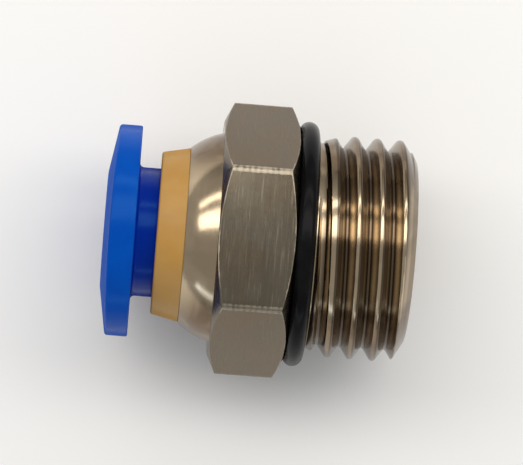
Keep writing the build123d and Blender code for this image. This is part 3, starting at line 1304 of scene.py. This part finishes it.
@dataclass
class GuideCollar:
    """Cream ring on the nose, with its skirt in the body."""

    front_x: float
    nose_x: float
    end_x: float
    bore_radius: float = 3.86 * MM
    front_radius: float = 4.8 * MM
    back_radius: float = 5.15 * MM
    skirt_radius: float = 4.5 * MM
    recess_radius: float = 4.16 * MM
    shoulder_x: float = -5.0 * MM
    front_edge: float = 0.16 * MM
    bore_edge: float = 0.2 * MM
    back_edge: float = 0.05 * MM
    smooth_angle: float = 40.0

    def build(self) -> Piece:
        """Turns the ring with its edges rounded.

        Returns:
            The ring's object.
        """
        mesh = bmesh.new()
        corners = [
            Corner(self.front_x, self.bore_radius, self.bore_edge),
            Corner(self.front_x, self.front_radius, self.front_edge),
            Corner(self.nose_x, self.back_radius, self.back_edge),
            Corner(self.nose_x, self.skirt_radius),
            Corner(self.end_x, self.skirt_radius),
            Corner(self.end_x, self.recess_radius),
            Corner(self.shoulder_x, self.recess_radius),
            Corner(self.shoulder_x, self.bore_radius),
        ]
        spin_outline(mesh, round_outline(corners, closed=True), closed=True)
        clean(mesh)
        return finish_piece(mesh, "guide_collar", self.smooth_angle)


@dataclass
class PushSleeve:
    """Blue sleeve with an oval flange, a slit snap nose and a through bore."""

    front_x: float
    end_x: float
    long_radius: float
    short_radius: float
    cone_length: float = 0.48 * MM
    back_x: float = -9.24 * MM
    bore_radius: float = 3.1 * MM
    mouth_rounding: float = 0.28 * MM
    mouth_land: float = 0.05 * MM
    land_rounding: float = 0.1 * MM
    neck_radius: float = 3.81 * MM
    root_rounding: float = 0.25 * MM
    rim_rounding: float = 0.1 * MM
    brow_rounding: float = 0.2 * MM
    barb_x: float = -4.95 * MM
    barb_radius: float = 4.06 * MM
    barb_end_x: float = -4.45 * MM
    nose_radius: float = 3.65 * MM
    tip_radius: float = 3.35 * MM
    slit_width: float = 0.6 * MM
    slit_length: float = 2.6 * MM
    smooth_angle: float = 40.0

    @property
    def land_radius(self) -> float:
        """Radius of the bore's mouth, where the front cone starts."""
        return self.bore_radius + self.mouth_rounding + self.mouth_land

    def build(self) -> Piece:
        """Turns the sleeve, draws its flange to an oval and cuts the slits.

        Returns:
            The sleeve's object.
        """
        mesh = bmesh.new()
        rim_x = self.front_x + self.cone_length
        corners = [
            Corner(self.front_x, self.bore_radius, self.mouth_rounding),
            Corner(self.front_x, self.land_radius, self.land_rounding),
            Corner(rim_x, self.long_radius, self.brow_rounding),
            Corner(self.back_x, self.long_radius, self.rim_rounding),
            Corner(self.back_x, self.neck_radius, self.root_rounding),
            Corner(self.barb_x, self.neck_radius),
            Corner(self.barb_x, self.barb_radius),
            Corner(self.barb_end_x, self.nose_radius),
            Corner(self.end_x, self.tip_radius),
            Corner(self.end_x, self.bore_radius),
        ]
        spin_outline(mesh, round_outline(corners, closed=True), closed=True)
        clean(mesh)
        self.draw_oval(mesh)
        sleeve = finish_piece(mesh, "push_sleeve", self.smooth_angle)
        self.cut_slits(sleeve)
        return sleeve

    def draw_oval(self, mesh: Mesh) -> None:
        """Pulls the flange in towards its short diameter, keeping its front on the cone.

        Args:
            mesh: The sleeve's turned mesh.
        """
        still = self.neck_radius + self.root_rounding
        slope = self.cone_length / (self.long_radius - self.land_radius)
        front_limit = self.front_x + self.cone_length + self.brow_rounding
        for vert in mesh.verts:
            radius = radius_of(vert)
            if radius <= still or vert.co.x > self.back_x + MERGE_DISTANCE:
                continue
            turn = math.atan2(vert.co.z, vert.co.y)
            long_part = math.cos(turn) / self.long_radius
            rim = 1 / math.hypot(long_part, math.sin(turn) / self.short_radius)
            share = (rim - still) / (self.long_radius - still)
            drawn = still + (radius - still) * share
            if vert.co.x < front_limit:
                vert.co.x -= (radius - drawn) * slope
            set_radius(vert, drawn)

    def cut_slits(self, sleeve: Piece) -> None:
        """Cuts the crossed slits that let the snap nose spring in.

        Args:
            sleeve: The sleeve's object.
        """
        # Each bar reaches past the barbs on both sides, and past the sleeve's end.
        mesh = bmesh.new()
        sides = (2 * self.slit_length, self.slit_width, 2.4 * self.barb_radius)
        for turn in (0, RIGHT_ANGLE):
            bar = bmesh.ops.create_cube(mesh, size=1)["verts"]
            bmesh.ops.scale(mesh, vec=sides, verts=bar)
            bmesh.ops.translate(mesh, vec=(self.end_x, 0, 0), verts=bar)
            bmesh.ops.rotate(mesh, verts=bar, matrix=Matrix.Rotation(turn, 3, "X"))
        subtract(sleeve, finish_piece(mesh, "slit_cutter"), self.smooth_angle)


def subtract(piece: Piece, cutter: Piece, smooth_angle: float) -> None:
    """Cuts one object out of another, keeps the result and deletes the cutter.

    Args:
        piece: The object to cut.
        cutter: The object to take away.
        smooth_angle: Faces that meet at less than this many degrees look like one surface.
    """
    cut = piece.modifiers.new("cut", "BOOLEAN")
    cut.operation = "DIFFERENCE"
    cut.solver = "EXACT"
    cut.use_self = True
    cut.object = cutter
    depsgraph = bpy.context.evaluated_depsgraph_get()
    result = bpy.data.meshes.new_from_object(piece.evaluated_get(depsgraph))
    piece.modifiers.clear()
    old = piece.data
    piece.data = result
    result.name = old.name
    bpy.data.meshes.remove(old)
    bpy.data.meshes.remove(cutter.data)
    result.shade_smooth()
    result.set_sharp_from_angle(angle=math.radians(smooth_angle))


# ---------------------------------------------------------------- studio


@dataclass
class SoftBox:
    """One rectangular lamp, long in X, placed by its tilt towards +Y and a shift along X."""

    name: str
    tilt: float
    size: Span
    power: float
    colour: Colour
    shift: float = -0.05
    distance: float = 0.24

    def build(self, target: Vector) -> None:
        """Places the lamp facing its target.

        Args:
            target: The point that it lights.
        """
        tilt = math.radians(self.tilt)
        way = Vector((0, math.sin(tilt), math.cos(tilt)))
        light = bpy.data.lights.new(self.name, "AREA")
        light.shape = "RECTANGLE"
        light.size, light.size_y = self.size
        light.energy = self.power
        light.color = self.colour
        lamp = bpy.data.objects.new(self.name, light)
        side = Vector((1, 0, 0))
        turn = Matrix((side, way.cross(side), way)).transposed().to_4x4()
        place = target + way * self.distance + side * self.shift
        lamp.matrix_world = Matrix.Translation(place) @ turn
        bpy.context.scene.collection.objects.link(lamp)


@dataclass
class Studio:
    """Pale floor, soft lamps and a camera looking down on the fitting."""

    target: Vector
    floor_z: float
    floor_size: float = 1.2
    floor_colour: Colour = (0.95, 0.965, 0.98)
    floor_roughness: float = 0.9
    world_colour: Colour = (1.0, 0.98, 0.95)
    world_strength: float = 0.40
    camera_distance: float = 0.1937
    camera_lens: float = 225.2
    camera_yaw: float = 2.08
    camera_pitch: float = 0.79
    camera_roll: float = 4.42
    camera_offset: Span = (0.293 * MM, 0.478 * MM)
    camera_clip: float = 0.01

    def build(self) -> None:
        """Builds the floor, world, lamps and camera."""
        self.build_floor()
        self.build_world()
        for lamp in self.lamps():
            lamp.build(self.target)
        self.build_camera()

    def lamps(self) -> list[SoftBox]:
        """The soft boxes.

        Returns:
            The lamps to build.
        """
        warm, warmer, cool = (1.0, 0.955, 0.89), (1.0, 0.94, 0.86), (0.72, 0.86, 1.0)
        return [
            SoftBox("key_strip", tilt=22.0, size=(0.80, 0.10), power=0.68, colour=warm, shift=0.0),
            SoftBox("second_strip", tilt=49.0, size=(0.60, 0.03), power=0.20, colour=warmer),
            SoftBox("low_strip", tilt=-74.0, size=(0.40, 0.03), power=0.07, colour=cool),
        ]

    def build_floor(self) -> None:
        """Lays the pale floor under the fitting."""
        mesh = bmesh.new()
        bmesh.ops.create_grid(mesh, x_segments=2, y_segments=2, size=self.floor_size / 2)
        bmesh.ops.translate(mesh, vec=(0, 0, self.floor_z), verts=mesh.verts)
        floor = finish_piece(mesh, "floor")
        paper = Surface("floor_paper")
        paper.fill(paper.shader, Base_Color=self.floor_colour, Roughness=self.floor_roughness)
        floor.data.materials.append(paper.material)

    def build_world(self) -> None:
        """Fills the room with soft light."""
        world = bpy.data.worlds.new("studio")
        bpy.context.scene.world = world
        world.use_nodes = True
        room = Graph(world.node_tree)
        background = room.tree.nodes["Background"]
        room.fill(background, Color=self.world_colour, Strength=self.world_strength)

    def build_camera(self) -> None:
        """Places the camera above the fitting, turned and rolled to its viewing angle."""
        camera_data = bpy.data.cameras.new("camera")
        camera_data.lens = self.camera_lens
        camera_data.clip_start = self.camera_clip
        camera = bpy.data.objects.new("camera", camera_data)
        lean = Matrix.Rotation(math.radians(-self.camera_yaw), 4, "Y")
        tip = Matrix.Rotation(math.radians(self.camera_pitch), 4, "X")
        roll = Matrix.Rotation(math.radians(self.camera_roll), 4, "Z")
        away = Matrix.Translation((*self.camera_offset, self.camera_distance))
        camera.matrix_world = Matrix.Translation(self.target) @ lean @ tip @ roll @ away
        bpy.context.scene.collection.objects.link(camera)
        bpy.context.scene.camera = camera


# ---------------------------------------------------------------- assembly


def coat(piece: Piece, finish: Finish) -> None:
    """Puts a finish on a piece in place of what it has."""
    piece.data.materials.clear()
    piece.data.materials.append(finish.build())


def settle(piece: Piece, body: str, node: str, finish: Finish) -> None:
    """Gives a piece its finish, its body and the CAD node that it stands for.

    Args:
        piece: The piece's object.
        body: The body that it rides on.
        node: The CAD node that it replaces.
        finish: The finish that it gets.
    """
    coat(piece, finish)
    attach(piece, body)
    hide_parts(node)
    log.info("%s: %d faces, on %s, for %s", piece.name, len(piece.data.polygons), body, node)


def dress_node(node: str, finish: Finish) -> None:
    """Gives a CAD node that stays its finish.

    Args:
        node: The node's name.
        finish: The finish that it gets.
    """
    coat(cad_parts[node], finish)
    log.info("%s: kept, with %s", node, finish.name)


def main() -> None:
    """Builds the fitting's pieces and the studio."""
    logging.basicConfig(level=logging.INFO, format="%(name)s %(message)s")
    make_turning_group()
    make_wear_group()
    make_dust_group()

    body_low, body_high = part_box("body")
    ring_low, ring_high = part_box("thread_o_ring")
    guide_low, guide_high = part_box("guide_ring")
    sleeve_low, sleeve_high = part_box("release_sleeve")

    body = HexBody(
        nose_x=body_low[0],
        thread_end_x=body_high[0],
        across_flats=2 * body_high[2],
        thread_radius=THREAD_DIAMETER / 2,
    )
    plate = NickelPlate(
        root_radius=body.root_radius,
        pitch=body.pitch,
        crest_x=body.top_crest_x,
        chamfer_start=body.chamfer_start,
        chamfer_angle=body.chamfer_angle,
        hexagon_middle=-body.hex_length / 2,
    )
    settle(body.build(), "fitting", "body", plate)
    seal = ThreadSeal(ring_low[0], min(ring_high[1], ring_high[2]), ring_high[0] - ring_low[0])
    settle(seal.build(), "fitting", "thread_o_ring", Rubber())
    collar = GuideCollar(front_x=guide_low[0], nose_x=body_low[0], end_x=guide_high[0])
    settle(collar.build(), "fitting", "guide_ring", CREAM_ACETAL)
    sleeve = PushSleeve(
        front_x=sleeve_low[0],
        end_x=sleeve_high[0],
        long_radius=sleeve_high[1],
        short_radius=sleeve_high[2],
    )
    settle(sleeve.build(), "sleeve", "release_sleeve", BLUE_ACETAL)

    dress_node("lock_claws", SpringSteel())
    dress_node("backing_ring", WHITE_ACETAL)
    dress_node("tube_seal", Rubber(name="seal_rubber"))

    middle = Vector((0.5 * (CAD_BOX[0][0] + CAD_BOX[1][0]), 0, 0))
    Studio(target=middle, floor_z=CAD_BOX[0][2] - FLOOR_GAP).build()
    bpy.context.scene.view_settings.view_transform = "Standard"


if __name__ == "__main__":
    main()
